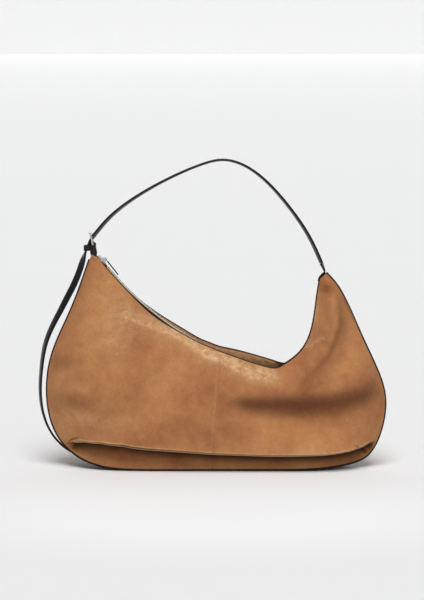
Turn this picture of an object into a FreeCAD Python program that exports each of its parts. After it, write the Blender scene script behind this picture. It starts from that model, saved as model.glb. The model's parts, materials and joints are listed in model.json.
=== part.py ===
"""Slouchy hobo bag: soft suede body, long zipped mouth, one shoulder strap with a buckle.

Frame: millimetres, X along the bag's length, Y from front to back, Z up, with the origin
in the middle of the flat base.  Every piece is a closed solid in a STEP file of its own.
"""
import FreeCAD
import Part
import math
import os

os.makedirs("parts", exist_ok=True)
Vector = FreeCAD.Vector
FRONT = -1
BACK = 1

# Driving dimensions (mm) ------------------------------------------------------------
SUEDE = 1.6             # thickness of an outer panel
SKIN_GAP = 0.4          # air between an outer panel and what is sewn inside it
FACING = 0.9            # thickness of the suede facing inside the mouth
LINING = 0.6            # thickness of the lining cloth
SEAM_GAP = 0.15         # half of the gap between two neighbouring panels
EDGE_WIDTH = 3.6        # painted edge that runs round the body, from front to back
EDGE_HEIGHT = 2.8       # and outwards
EDGE_OFFSET = 1.8       # from a panel's edge out to the middle of the painted edge
MOUTH_EDGE = 1.7        # painted edge of the mouth, both ways

STRAP_WIDTH = 12.0
STRAP_THICK = 3.0
TAIL_LEAN = (0, 38)                      # degrees that the loose end turns in its first run
SWING_LEFT = Vector(-181.0, 0, 321.5)    # the strap swings about the line through these two
SWING_RIGHT = Vector(156.2, 0, 295.5)

BASE_X = (-166.0, 172.0)                 # ends of the flat base
BASE_HALF = 23.8                         # half of its depth
BASE_THICK = 2.0
STIFFENER_INSET = 12.0

ZIP_CENTRE = Vector(191.2, 0, 585.2)     # the mouth's zip follows an arc about this point
ZIP_RADIUS = 453.4
ZIP_X = (-170.5, 84.0)                   # ends of the teeth
TEETH_INNER = 0.8                        # from the mid plane to a row of teeth
TEETH_OUTER = 2.2
TEETH_HEIGHT = 2.6
TAPE_INNER = 2.25
TAPE_OUTER = 7.2
TAPE_THICK = 0.6
TAPE_START = 12.0                        # from the first teeth to the start of the tape
STOP_LENGTH = 2.2
STOP_GAP = 0.2                           # from a stop to the teeth
STOP_HALF_WIDTH = 2.4
STOP_PROUD = 0.5                         # how far a stop stands over the teeth
SLIDER_X = -167.0                        # where the slider rests
SLIDER_STOP_X = 78.0                     # where it stops with the bag open
SLIDER_LENGTH = 9.0
SLIDER_HALF_WIDTH = 4.2
PLATE_THICK = 1.3                        # each plate of the slider
PLATE_GAP = 0.4                          # from a plate to the teeth
NECK_LENGTH = 2.0                        # neck that joins the plates, between the teeth
NECK_HALF = 0.45
BRIDGE_HALF_LENGTH = 1.4                 # bridge that holds the ring
BRIDGE_HALF_WIDTH = 0.9
BRIDGE_WALL = 1.1                        # metal over the ring's pin
BRIDGE_CLEAR = 1.85                      # from the slider's plate up to the ring's pin
JOINED = 0.2                             # how far fused pieces run into each other
RING_REACH = 4.5                         # pull ring: from its pin to its far bar
RING_PIN_HALF = 2.0
RING_FAR_HALF = 3.0
RING_WIRE_R = 0.55
RING_PLAY = 0.2                          # radial play round the ring's wire
PULL_LENGTH = 25.0                       # leather pull
PULL_WIDTH = 3.2
PULL_THICK = 1.4

HEEL_BAR = Vector(-181.0, 0, 330.5)      # buckle
TOP_BAR = Vector(-184.0, 0, 347.0)
BAR_R = 1.1
FRAME_HALF = 8.0                         # from the mid plane to a side bar
PRONG_R = 0.8
PRONG_HUB_R = 2.2
PRONG_HUB_WIDTH = 2.2
PRONG_RUNNING = 0.1                      # radial play of the prong on its bar
PRONG_GAP = 0.55                         # from the prong to the top bar that it rests over
PRONG_PAST = 2.2                         # how far the prong reaches past the top bar
PRONG_SLOT = ((-194.0, -178.0), 3.4, (332.4, 343.9))     # x span, width and z span
TAB_R = 3.2                              # leather tab round the heel bar
TAB_LEAF = [(-184.2, 330.5), (-177.8, 330.5), (-174.6, 318.8), (-174.8, 313.8),
            (-182.6, 313.8)]             # side of the tab, as x, z
TAB_PLAY = 0.3                           # radial play of the tab on the heel bar
TAB_NOTCH = (8.0, 3.2, 8.0)              # room for the prong's hub: length, width, height
TAB_NOTCH_LOW = 3.0                      # how far the notch reaches under the heel bar
KEEPER = (-194.3, -184.7, 322.6, 329.4)  # low x, high x, low z, high z
KEEPER_HALF = 7.9
KEEPER_WALL = 1.2
KEEPER_CORNER = 1.2

POCKET_X = (-80.0, 80.0)
POCKET_Y = 13.0                          # front of the pocket
POCKET_Z = (40.0, 126.0)
POCKET_WALL = 0.8
POCKET_GAP = 0.1                         # between the two halves of the pocket
POCKET_DEPTH = 4.0
POCKET_HEM = 1.0                         # closed margin round the pocket's hollow
POCKET_ZIP_Z = 112.0
POCKET_ZIP_X = (-68.0, 68.0)             # ends of the pocket's teeth
POCKET_SLOT_HALF = 4.5
POCKET_SLOT_PAST = 4.0                   # how far the slot and its tape run past the teeth
POCKET_TAPE_GAP_HALF = 2.2               # opening in the tape, which the teeth fill
POCKET_TEETH_OUTER = 2.0
POCKET_TEETH_INNER = 0.7
POCKET_TEETH_DEPTH = 2.0
POCKET_PLATE = (8.0, 1.2, 7.4)           # plate of the pocket's slider
POCKET_PLATE_FRONT = 2.2                 # from the pocket's front out to the front plate
POCKET_PLATE_REAR = 1.8                  # and in to the rear plate
POCKET_NECK = (2.0, 4.6, 0.8)
POCKET_EYE_R = 1.6                       # eye that holds the pull
POCKET_EYE_OUT = 3.4
POCKET_EYE_BORE_R = 0.7
POCKET_PIN_R = 0.5
POCKET_PULL_WIDTH = 5.2
POCKET_PULL_THICK = 1.0
POCKET_PULL_ARM = (0.9, 8.0)             # width and length of an arm of the pull
POCKET_PULL_BLADE = 12.0

# The front panels' two long edges, from the left tip to the right tip, as x, y, z.
# Matching points are joined by one rib of the panel.
MOUTH = [(-175, -8, 313.5), (-150, -9, 284), (-124, -10.5, 256), (-98, -10.5, 231),
         (-74, -10.5, 214), (-52, -10.5, 201), (-36, -10.5, 192), (-22, -10.5, 185),
         (-10, -10.5, 180), (4, -10.5, 174), (24, -10.5, 167), (45, -10.5, 159.5),
         (64, -10, 153.5), (84, -8.5, 149), (101, -4, 155), (122, -2.2, 172),
         (136, -2, 196), (143, -2, 225), (147, -2, 256), (151, -2, 281)]
EDGE = [(-182.5, -8, 316.5), (-196, -2.5, 278), (-215, -2, 230), (-238, -2, 178),
        (-248.8, -2, 126), (-243.9, -2, 72.9), (-220, -4, 31.5), (-168, -22, 7.8),
        (-90, -28, 3.6), (-7, -28, 3.6), (80, -28, 3.6), (151, -26.5, 5.5),
        (203.8, -9, 12.1), (233, -2.5, 35.5), (246.9, -2, 92.8), (235.3, -2, 144),
        (213.6, -2, 191), (194, -2, 235), (176.2, -2, 268.5), (159, -2, 288.5)]
EDGE_LOW = 3.6                           # the panels come no lower than this
SEAM_RIB = 9                             # the centre seam follows this rib
HORN_RIB = 14                            # from here to the tip the mouth is sewn shut
# How much higher the mouth's back edge stands, at ribs 0 to HORN_RIB.
BACK_RISE = [0, -1.5, 0.4, 4.6, 5.4, 5.0, 4.2, 3.8, 4.0, 4.8, 7.5, 9.8, 10.4, 9.0, 0]
FULL_DEPTH = {FRONT: 47.0, BACK: 43.0}   # how far a panel bulges from the mid plane
FULL_LENGTH = 198.0                      # a rib this long bulges all the way
SAG = 1.35                               # over 1, the bulge hangs low
COLUMNS_PER_RIB = 3
EDGE_POINTS_PER_RIB = 2
EDGE_START = 0.3                         # the painted edge starts at this rib, under the tab
MOUTH_EDGE_RIBS = (1, 12)
ROWS = 15

# Middle of the strap, from the buckle over the shoulder to the right tip, as x, z.
ARCH = [(-183, 340), (-176.8, 347.5), (-161, 366), (-124, 396.5), (-73, 426), (-22, 448),
        (8, 454.5), (36, 448), (68, 426.5), (95.5, 397.5), (118.5, 367.5), (136.8, 338),
        (152.3, 304.5)]
RIGHT_END = [(152.5, 304), (154.3, 300), (156.2, 295.5), (157.6, 291.6)]
LEFT_END = [(-183.3, 339.6), (-186.5, 333), (-189.2, 327), (-191.6, 321.2)]
# Middle of the loose end as x, y, z.
TAIL_TOP = [(-191.8, 0, 320.8), (-193.6, 0, 315.6), (-195.3, 0.2, 310.4), (-197, 0.4, 305.2)]
TAIL = [(-197.1, 0.4, 304.8), (-206.7, 1, 278.5), (-218.4, 2, 255), (-231, 3, 231),
        (-243, 4, 208), (-252, 5, 185), (-258.5, 6, 150), (-261, 8, 114), (-257, 11, 78),
        (-243, 15, 45), (-218, 21, 20.5), (-186, 28, 7.6)]


def save(shape, node):
    """Write one node, after making sure that it is closed and valid."""
    if not shape.isValid():
        raise ValueError(node + " isn't valid")
    if not all(solid.isClosed() for solid in shape.Solids):
        raise ValueError(node + " isn't closed")
    if shape.Volume <= 0:
        raise ValueError(node + " has no volume")
    shape.exportStep("parts/" + node + ".step")
    print(node, len(shape.Solids), round(shape.Volume), "mm3")


def curve_through(points):
    """Smooth curve through points, with its parameter running from 0 to 1."""
    count = len(points) - 1
    curve = Part.BSplineCurve()
    curve.interpolate(Points=[Vector(*p) for p in points],
                      Parameters=[i / count for i in range(count + 1)])
    return curve


def surface_through(rows):
    """Smooth surface through a grid of points: first along the rows, then across them."""
    along = [curve_through([row[j] for row in rows]) for j in range(len(rows[0]))]
    poles = [curve.getPoles() for curve in along]
    across = [curve_through([line[k] for line in poles]) for k in range(len(poles[0]))]
    surface = Part.BSplineSurface()
    surface.buildFromPolesMultsKnots(
        [curve.getPoles() for curve in across],
        along[0].getMultiplicities(), across[0].getMultiplicities(),
        along[0].getKnots(), across[0].getKnots(), False, False,
        along[0].Degree, across[0].Degree)
    return surface


def plate(outer_rows, inner_rows):
    """Closed solid between two grids of points."""
    surfaces = [surface_through(rows) for rows in (outer_rows, inner_rows)]
    faces = [surface.toShape() for surface in surfaces]
    for end in (0, 1):
        for iso in ("uIso", "vIso"):
            edges = [getattr(s, iso)(s.bounds()[end if iso == "uIso" else end + 2] * 1.0)
                     for s in surfaces]
            faces.append(Part.makeRuledSurface(edges[0].toShape(), edges[1].toShape()))
    return solid_from(faces)


def solid_from(faces):
    shell = Part.makeShell(faces)
    shell.sewShape()
    solid = Part.makeSolid(shell)
    if solid.Volume < 0:
        solid.reverse()
    return solid


# Soft body --------------------------------------------------------------------------
mouth_curve = curve_through(MOUTH)
edge_curve = curve_through(EDGE)
LAST_RIB = len(MOUTH) - 1


rise_curve = Part.BSplineCurve()
rise_curve.interpolate([Vector(i, 0, rise) for i, rise in enumerate(BACK_RISE)],
                       Parameters=list(range(HORN_RIB + 1)))


def back_rise(u):
    """How much higher the mouth's back edge stands than the front one."""
    number = u * LAST_RIB
    return rise_curve.value(number).z if number < HORN_RIB else 0.0


def body_point(side, u, t):
    """Outside of a panel: u runs from tip to tip, and t from the mouth to the edge."""
    top = mouth_curve.value(u)
    low = edge_curve.value(u)
    low.z = max(low.z, EDGE_LOW)
    length = math.hypot(top.x - low.x, top.z - low.z)
    rest_line = abs(top.y) * 0.4 + abs(low.y) * 0.6
    depth = max(FULL_DEPTH[side] * (length / FULL_LENGTH) ** 0.75 - rest_line, 1.0)
    bulge = depth * math.sin(math.pi * t ** SAG)
    point = top * (1 - t) + low * t
    rise = back_rise(u) * (1 - t) if side == BACK else 0.0
    return Vector(point.x, side * (abs(point.y) + bulge), point.z + rise)


def inward(side, u, t):
    """Unit normal into the bag."""
    step = 0.002
    u0 = max(u - step, 0)
    u1 = min(u + step, 1)
    t0 = max(t - step, 0)
    t1 = min(t + step, 1)
    along = body_point(side, u1, t) - body_point(side, u0, t)
    across = body_point(side, u, t1) - body_point(side, u, t0)
    normal = along.cross(across)
    normal.normalize()
    return normal if normal.y * side < 0 else normal * -1


def skin(side, u_span, t_span, depth_span, rows=ROWS):
    """Part of a panel or lining, between two depths under the bag's outside."""
    columns = max(6, round((u_span[1] - u_span[0]) * LAST_RIB * COLUMNS_PER_RIB))
    layers = []
    for depth in depth_span:
        layer = []
        for i in range(columns + 1):
            u = u_span[0] + (u_span[1] - u_span[0]) * i / columns
            line = []
            for j in range(rows + 1):
                t = t_span[0] + (t_span[1] - t_span[0]) * j / rows
                line.append(body_point(side, u, t) + inward(side, u, t) * depth)
            layer.append(line)
        layers.append(layer)
    return plate(layers[0], layers[1])


def rib(number):
    return number / LAST_RIB


def body():
    seam = rib(SEAM_RIB)
    half_seam = SEAM_GAP / 1100.0        # the mouth and edge are about 1100 long
    names = {FRONT: "front", BACK: "back"}
    for side, name in names.items():
        save(skin(side, (0, seam - half_seam), (0, 1), (0, SUEDE)), name + "_panel_left")
        save(skin(side, (seam + half_seam, 1), (0, 1), (0, SUEDE)), name + "_panel_right")
        facing_depth = (SUEDE + SKIN_GAP, SUEDE + SKIN_GAP + FACING)
        lining_depth = (SUEDE + SKIN_GAP, SUEDE + SKIN_GAP + LINING)
        save(skin(side, (rib(1), rib(13)), (0.01, 0.13), facing_depth, 5),
             "mouth_facing_" + name)
        save(skin(side, (rib(1), rib(17)), (0.15, 0.95), lining_depth), "lining_" + name)


def strip(middles, outs, width, height):
    """Strip along the middles: its width runs from front to back, its height outwards."""
    layers = []
    for sign in (-1, 1):
        layers.append([[middle + out * (sign * height / 2) + Vector(0, width * (k / 3 - 0.5), 0)
                        for k in range(4)] for middle, out in zip(middles, outs)])
    return plate(layers[0], layers[1])


def outward_of_edge(u):
    """Unit direction out of the bag, square to its outline, in the XZ plane."""
    ahead = edge_curve.value(min(u + 0.002, 1)) - edge_curve.value(max(u - 0.002, 0))
    out = Vector(ahead.z, 0, -ahead.x)
    out.normalize()
    return out * (1 if out.dot(edge_curve.value(u) - Vector(0, 0, 150)) > 0 else -1)


def piping(first, last):
    """Painted edge: between the panels at the sides, and at the front under the bag."""
    middles = []
    outs = []
    count = round((last - first) * EDGE_POINTS_PER_RIB)
    for i in range(count + 1):
        u = rib(first + (last - first) * i / count)
        out = outward_of_edge(u)
        middle = edge_curve.value(u) + out * EDGE_OFFSET
        middle.y = min(middle.y + 2.0, 0)
        middle.z = max(middle.z, EDGE_HEIGHT / 2 + 0.1)
        middles.append(middle)
        outs.append(out)
    return strip(middles, outs, EDGE_WIDTH, EDGE_HEIGHT)


def mouth_edge(side):
    middles = []
    outs = []
    for i in range(MOUTH_EDGE_RIBS[0] * 2, MOUTH_EDGE_RIBS[1] * 2 + 1):
        u = rib(i / 2)
        inside = body_point(side, u, 0) + inward(side, u, 0) * (SUEDE / 2)
        up = body_point(side, u, 0) - body_point(side, u, 0.05)
        up.y = 0
        up.normalize()
        middles.append(inside + up * (MOUTH_EDGE / 2 + 0.4))
        outs.append(up)
    return strip(middles, outs, MOUTH_EDGE, MOUTH_EDGE)


def horn_edge():
    middles = []
    outs = []
    for i in range(HORN_RIB * 2 + 2, LAST_RIB * 2 + 1):
        u = rib(i / 2)
        point = mouth_curve.value(u)
        ahead = mouth_curve.value(min(u + 0.002, 1)) - mouth_curve.value(u - 0.002)
        out = Vector(-ahead.z, 0, ahead.x)
        out.normalize()
        middles.append(Vector(point.x, 0, point.z) + out * EDGE_OFFSET)
        outs.append(out)
    return strip(middles, outs, EDGE_WIDTH, EDGE_HEIGHT)


def edges():
    save(piping(EDGE_START, SEAM_RIB - 0.01), "edge_piping_left")
    save(piping(SEAM_RIB + 0.01, LAST_RIB), "edge_piping_right")
    save(mouth_edge(FRONT), "mouth_edge_front")
    save(mouth_edge(BACK), "mouth_edge_back")
    save(horn_edge(), "horn_edge")


def lens(x_span, half, bottom, thickness):
    """Flat plate, pointed softly at both ends."""
    points = []
    middle = (x_span[0] + x_span[1]) / 2
    reach = (x_span[1] - x_span[0]) / 2
    for i in range(32):
        turn = 2 * math.pi * i / 32
        across = math.sin(turn)
        flat = math.copysign(abs(across) ** 0.55, across)
        points.append(Vector(middle + reach * math.cos(turn), half * flat, bottom))
    outline = Part.BSplineCurve()
    outline.interpolate(points, PeriodicFlag=True)
    face = Part.Face(Part.Wire([outline.toShape()]))
    return face.extrude(Vector(0, 0, thickness))


def base():
    save(lens(BASE_X, BASE_HALF, 0, BASE_THICK), "base_panel")
    inset = (BASE_X[0] + STIFFENER_INSET, BASE_X[1] - STIFFENER_INSET)
    save(lens(inset, BASE_HALF - 4, BASE_THICK + SKIN_GAP, BASE_THICK), "base_stiffener")


# Main zip ---------------------------------------------------------------------------
def zip_angle(x):
    return math.degrees(math.asin((x - ZIP_CENTRE.x) / ZIP_RADIUS))


def on_zip(x, radius=ZIP_RADIUS):
    """Point of the mid plane at this radius, beside the place where the zip passes x."""
    turn = math.radians(zip_angle(x))
    return ZIP_CENTRE + Vector(math.sin(turn), 0, -math.cos(turn)) * radius


def arc_strip(x_span, radii, y_span):
    """Strip that follows the zip's arc."""
    middle = (x_span[0] + x_span[1]) / 2
    corners = [[on_zip(x, r) for x in (x_span[0], middle, x_span[1])] for r in radii]
    near, far = corners
    wire = Part.Wire([Part.Arc(near[0], near[1], near[2]).toShape(),
                      Part.makeLine(near[2], far[2]),
                      Part.Arc(far[2], far[1], far[0]).toShape(),
                      Part.makeLine(far[0], near[0])])
    face = Part.Face(wire)
    face.translate(Vector(0, y_span[0], 0))
    return face.extrude(Vector(0, y_span[1] - y_span[0], 0))


def towards(x, direction, size):
    """Vector along the zip, or up out of it, where the zip passes x."""
    turn = math.radians(zip_angle(x))
    along = Vector(math.cos(turn), 0, math.sin(turn))
    up = Vector(-math.sin(turn), 0, math.cos(turn))
    return (along if direction == "along" else up) * size


def main_zip():
    half = TEETH_HEIGHT / 2
    tape = (ZIP_RADIUS - TAPE_THICK / 2, ZIP_RADIUS + TAPE_THICK / 2)
    tooth = (ZIP_RADIUS - half, ZIP_RADIUS + half)
    tape_x = (ZIP_X[0] + TAPE_START, ZIP_X[1])
    for side, name in ((FRONT, "front"), (BACK, "back")):
        outer = sorted((side * TAPE_INNER, side * TAPE_OUTER))
        inner = sorted((side * TEETH_INNER, side * TEETH_OUTER))
        save(arc_strip(tape_x, tape, outer), "zip_tape_" + name)
        save(arc_strip(ZIP_X, tooth, inner), "zip_teeth_" + name)
    stop = (tooth[0] - STOP_PROUD, tooth[1] + STOP_PROUD)
    width = (-STOP_HALF_WIDTH, STOP_HALF_WIDTH)
    top_x = (ZIP_X[0] - STOP_GAP - STOP_LENGTH, ZIP_X[0] - STOP_GAP)
    bottom_x = (ZIP_X[1] + STOP_GAP, ZIP_X[1] + STOP_GAP + STOP_LENGTH)
    save(arc_strip(top_x, stop, width), "zip_top_stop")
    save(arc_strip(bottom_x, stop, width), "zip_bottom_stop")


def ring_pivot():
    """Where the pull ring hangs in the slider's bridge."""
    height = TEETH_HEIGHT / 2 + PLATE_GAP + PLATE_THICK + BRIDGE_CLEAR
    return on_zip(SLIDER_X) + towards(SLIDER_X, "up", height)


def pull_pivot():
    """Middle of the ring's far bar, where the leather pull is folded round it."""
    return ring_pivot() + towards(SLIDER_X, "along", RING_REACH)


def slider():
    """Two plates over and under the teeth, their neck, and the bridge for the ring."""
    half = TEETH_HEIGHT / 2 + PLATE_GAP
    slope = SLIDER_LENGTH / 2 * math.cos(math.radians(zip_angle(SLIDER_X)))
    span = (SLIDER_X - slope, SLIDER_X + slope)
    width = (-SLIDER_HALF_WIDTH, SLIDER_HALF_WIDTH)
    top_radii = (ZIP_RADIUS - half - PLATE_THICK, ZIP_RADIUS - half)
    low_radii = (ZIP_RADIUS + half, ZIP_RADIUS + half + PLATE_THICK)
    plates = [arc_strip(span, radii, width) for radii in (top_radii, low_radii)]
    neck = arc_strip((span[0], span[0] + NECK_LENGTH),
                     (top_radii[0] + JOINED, low_radii[1] - JOINED), (-NECK_HALF, NECK_HALF))
    bridge_height = BRIDGE_CLEAR + RING_WIRE_R + BRIDGE_WALL
    bridge = arc_strip((SLIDER_X - BRIDGE_HALF_LENGTH, SLIDER_X + BRIDGE_HALF_LENGTH),
                       (top_radii[0] - bridge_height, top_radii[0] + JOINED),
                       (-BRIDGE_HALF_WIDTH, BRIDGE_HALF_WIDTH))
    hole = cross_bar(ring_pivot(), 2 * BRIDGE_HALF_WIDTH + 2, RING_WIRE_R + RING_PLAY)
    shape = plates[0].fuse([plates[1], neck, bridge]).cut(hole)
    save(shape.removeSplitter(), "zip_slider")


def cross_bar(middle, length, radius):
    """Cylinder that runs from front to back."""
    return Part.makeCylinder(radius, length, middle - Vector(0, length / 2, 0),
                             Vector(0, 1, 0))


def pull_ring():
    """Flat loop with a straight side that turns in the bridge."""
    side = Vector(0, 1, 0)
    pin, far = ring_pivot(), pull_pivot()
    pieces = [cross_bar(pin, 2 * RING_PIN_HALF, RING_WIRE_R),
              cross_bar(far, 2 * RING_FAR_HALF, RING_WIRE_R)]
    for sign in (-1, 1):
        start = pin + side * (sign * RING_PIN_HALF)
        end = far + side * (sign * RING_FAR_HALF)
        pieces.append(Part.makeCylinder(RING_WIRE_R, (end - start).Length, start, end - start))
        pieces.append(Part.makeSphere(RING_WIRE_R, start))
        pieces.append(Part.makeSphere(RING_WIRE_R, end))
    save(pieces[0].fuse(pieces[1:]).removeSplitter(), "zip_pull_ring")


def pull_leather():
    """Narrow leather pull, folded round the ring's far bar."""
    side = Vector(0, 1, 0)
    along = towards(SLIDER_X, "along", 1)
    up = towards(SLIDER_X, "up", 1)
    fold = pull_pivot()
    inner_r = RING_WIRE_R + RING_PLAY
    sleeve = cross_bar(fold, PULL_WIDTH, inner_r + PULL_THICK / 2)
    tongue = Part.makeBox(PULL_LENGTH, PULL_WIDTH, PULL_THICK)
    corner = fold + along * inner_r - side * (PULL_WIDTH / 2) - up * (PULL_THICK / 2)
    tongue.Placement = FreeCAD.Placement(corner, FreeCAD.Rotation(along, side, up, "XYZ"))
    bore = cross_bar(fold, PULL_WIDTH + 2, inner_r)
    save(sleeve.fuse(tongue).cut(bore).removeSplitter(), "zip_pull_leather")
    print("ring pivot", ring_pivot(), "pull pivot", fold)
    print("zip centre", ZIP_CENTRE, "turn", zip_angle(SLIDER_STOP_X) - zip_angle(SLIDER_X))


# Strap ------------------------------------------------------------------------------
def ribbon(points, leans=None):
    """Flat strap along a path.  A lean, in degrees, turns its broad side to the front."""
    path = Part.BSplineCurve()
    path.interpolate([Vector(*p) for p in points])
    first, last = path.FirstParameter, path.LastParameter
    count = max(12, 3 * len(points))
    layers = [[], []]
    for i in range(count + 1):
        part_way = i / count
        at = first + (last - first) * part_way
        middle = path.value(at)
        tangent = Vector(*path.tangent(at)[0])
        lean = 0.0
        if leans:
            lean = math.radians(leans[0] + (leans[1] - leans[0]) * min(part_way * 2.5, 1))
        flat = Vector(0, 1, 0).cross(tangent)
        flat.normalize()
        across = Vector(0, 1, 0) * math.cos(lean) + flat * math.sin(lean)
        normal = across.cross(tangent)
        normal.normalize()
        for layer, sign in zip(layers, (-1, 1)):
            line = [middle + across * (STRAP_WIDTH * (k / 3 - 0.5))
                    + normal * (sign * STRAP_THICK / 2) for k in range(4)]
            layer.append(line)
    return plate(layers[0], layers[1])


def in_mid_plane(points):
    return [(x, 0, z) for x, z in points]


def prong_slot():
    """Room in the strap for the prong, at rest and while it turns out."""
    (low_x, high_x), width, (low_z, high_z) = PRONG_SLOT
    return Part.makeBox(high_x - low_x, width, high_z - low_z,
                        Vector(low_x, -width / 2, low_z))


def strap():
    arch = ribbon(in_mid_plane(ARCH)).cut(prong_slot())
    save(arch, "strap_arch")
    save(ribbon(in_mid_plane(RIGHT_END)), "strap_end_right")
    save(ribbon(in_mid_plane(LEFT_END)).cut(prong_slot()), "strap_end_left")
    save(ribbon(TAIL_TOP, TAIL_LEAN), "strap_tail_top")
    save(ribbon(TAIL, TAIL_LEAN[::-1]), "strap_tail")
    print("strap swings about", SWING_LEFT, "to", SWING_RIGHT)


# Buckle -----------------------------------------------------------------------------
def buckle_frame():
    side = Vector(0, 1, 0)
    corners = [HEEL_BAR - side * FRAME_HALF, HEEL_BAR + side * FRAME_HALF,
               TOP_BAR + side * FRAME_HALF, TOP_BAR - side * FRAME_HALF]
    pieces = []
    for i, corner in enumerate(corners):
        run = corners[(i + 1) % 4] - corner
        pieces.append(Part.makeCylinder(BAR_R, run.Length, corner, run))
        pieces.append(Part.makeSphere(BAR_R, corner))
    save(pieces[0].fuse(pieces[1:]).removeSplitter(), "buckle_frame")


def buckle_prong():
    """Finger that turns on the heel bar and rests over the top bar."""
    lean = TOP_BAR - HEEL_BAR
    lean.normalize()
    out = Vector(-lean.z, 0, lean.x)
    tip = TOP_BAR + out * (BAR_R + PRONG_R + PRONG_GAP) + lean * PRONG_PAST
    hub = cross_bar(HEEL_BAR, PRONG_HUB_WIDTH, PRONG_HUB_R)
    run = tip - HEEL_BAR
    finger = Part.makeCylinder(PRONG_R, run.Length, HEEL_BAR, run)
    bore = cross_bar(HEEL_BAR, PRONG_HUB_WIDTH + 2, BAR_R + PRONG_RUNNING)
    prong = hub.fuse([finger, Part.makeSphere(PRONG_R, tip)]).cut(bore)
    save(prong.removeSplitter(), "buckle_prong")


def buckle_tab():
    """Leather tab, folded round the heel bar and sewn to the bag's left tip."""
    outline = [Vector(x, 0, z) for x, z in TAB_LEAF]
    leaf = Part.Face(Part.makePolygon(outline + [outline[0]]))
    leaf.translate(Vector(0, -STRAP_WIDTH / 2, 0))
    leaf = leaf.extrude(Vector(0, STRAP_WIDTH, 0))
    loop = cross_bar(HEEL_BAR, STRAP_WIDTH, TAB_R)
    bar_hole = cross_bar(HEEL_BAR, STRAP_WIDTH + 2, BAR_R + TAB_PLAY)
    length, width, height = TAB_NOTCH
    notch = Part.makeBox(length, width, height,
                         HEEL_BAR - Vector(length / 2, width / 2, TAB_NOTCH_LOW))
    save(loop.fuse(leaf).cut([bar_hole, notch]).removeSplitter(), "buckle_tab")


def keeper():
    """Closed leather loop that holds the strap's loose end."""
    low_x, high_x, low_z, high_z = KEEPER
    block = Part.makeBox(high_x - low_x, 2 * KEEPER_HALF, high_z - low_z,
                         Vector(low_x, -KEEPER_HALF, low_z))
    upright = [e for e in block.Edges if abs(e.tangentAt(e.FirstParameter).z) > 0.99]
    block = block.makeFillet(KEEPER_CORNER, upright)
    window = Part.makeBox(high_x - low_x - 2 * KEEPER_WALL, 2 * (KEEPER_HALF - KEEPER_WALL),
                          high_z - low_z + 2,
                          Vector(low_x + KEEPER_WALL, KEEPER_WALL - KEEPER_HALF, low_z - 1))
    save(block.cut(window), "keeper_loop")


# Pocket that hangs inside -----------------------------------------------------------
def pocket():
    """Flat pocket: a front with a slot for the zip, and a shallow tray behind it."""
    width = POCKET_X[1] - POCKET_X[0]
    height = POCKET_Z[1] - POCKET_Z[0]
    corner = Vector(POCKET_X[0], POCKET_Y, POCKET_Z[0])
    zip_length = POCKET_ZIP_X[1] - POCKET_ZIP_X[0]
    front = Part.makeBox(width, POCKET_WALL, height, corner)
    slot = Part.makeBox(zip_length + 2 * POCKET_SLOT_PAST, 4, 2 * POCKET_SLOT_HALF,
                        Vector(POCKET_ZIP_X[0] - POCKET_SLOT_PAST, POCKET_Y - 1,
                               POCKET_ZIP_Z - POCKET_SLOT_HALF))
    save(front.cut(slot), "pocket_front")
    tray_corner = corner + Vector(0, POCKET_WALL + POCKET_GAP, 0)
    tray = Part.makeBox(width, POCKET_DEPTH, height, tray_corner)
    hollow = Part.makeBox(width - 2 * POCKET_HEM, POCKET_DEPTH, height - 2 * POCKET_HEM,
                          tray_corner + Vector(POCKET_HEM, -POCKET_WALL, POCKET_HEM))
    save(tray.cut(hollow), "pocket_back")


def pocket_zip():
    zip_length = POCKET_ZIP_X[1] - POCKET_ZIP_X[0]
    tape = Part.makeBox(zip_length + 2 * POCKET_SLOT_PAST - 1, TAPE_THICK,
                        2 * POCKET_SLOT_HALF - 0.4,
                        Vector(POCKET_ZIP_X[0] - POCKET_SLOT_PAST + 0.5, POCKET_Y + 0.1,
                               POCKET_ZIP_Z - POCKET_SLOT_HALF + 0.2))
    gap = Part.makeBox(zip_length + 1, 4, 2 * POCKET_TAPE_GAP_HALF,
                       Vector(POCKET_ZIP_X[0] - 0.5, POCKET_Y - 1,
                              POCKET_ZIP_Z - POCKET_TAPE_GAP_HALF))
    save(tape.cut(gap), "pocket_zip_tape")
    tooth_height = POCKET_TEETH_OUTER - POCKET_TEETH_INNER
    rows = []
    for low in (-POCKET_TEETH_OUTER, POCKET_TEETH_INNER):
        rows.append(Part.makeBox(zip_length, POCKET_TEETH_DEPTH, tooth_height,
                                 Vector(POCKET_ZIP_X[0], POCKET_Y - 0.6, POCKET_ZIP_Z + low)))
    save(Part.makeCompound(rows), "pocket_zip_teeth")


def pocket_eye():
    """Middle of the eye that the pocket's pull hangs in."""
    return Vector(POCKET_ZIP_X[0] + 1 + POCKET_PLATE[0] / 2, POCKET_Y - POCKET_EYE_OUT,
                  POCKET_ZIP_Z)


def pocket_slider():
    start = POCKET_ZIP_X[0] + 1
    length, thickness, height = POCKET_PLATE
    low_z = POCKET_ZIP_Z - height / 2
    front_y = POCKET_Y - POCKET_PLATE_FRONT
    front_plate = Part.makeBox(length, thickness, height, Vector(start, front_y, low_z))
    rear_plate = Part.makeBox(length, thickness, height,
                              Vector(start, POCKET_Y + POCKET_PLATE_REAR, low_z))
    neck = Part.makeBox(*POCKET_NECK, Vector(start, front_y + JOINED,
                                             POCKET_ZIP_Z - POCKET_NECK[2] / 2))
    along = Vector(1, 0, 0)
    eye = Part.makeCylinder(POCKET_EYE_R, 1.6, pocket_eye() - along * 0.8, along)
    hole = Part.makeCylinder(POCKET_EYE_BORE_R, 4, pocket_eye() - along * 2, along)
    save(front_plate.fuse([rear_plate, neck, eye]).cut(hole).removeSplitter(),
         "pocket_zip_slider")


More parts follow.
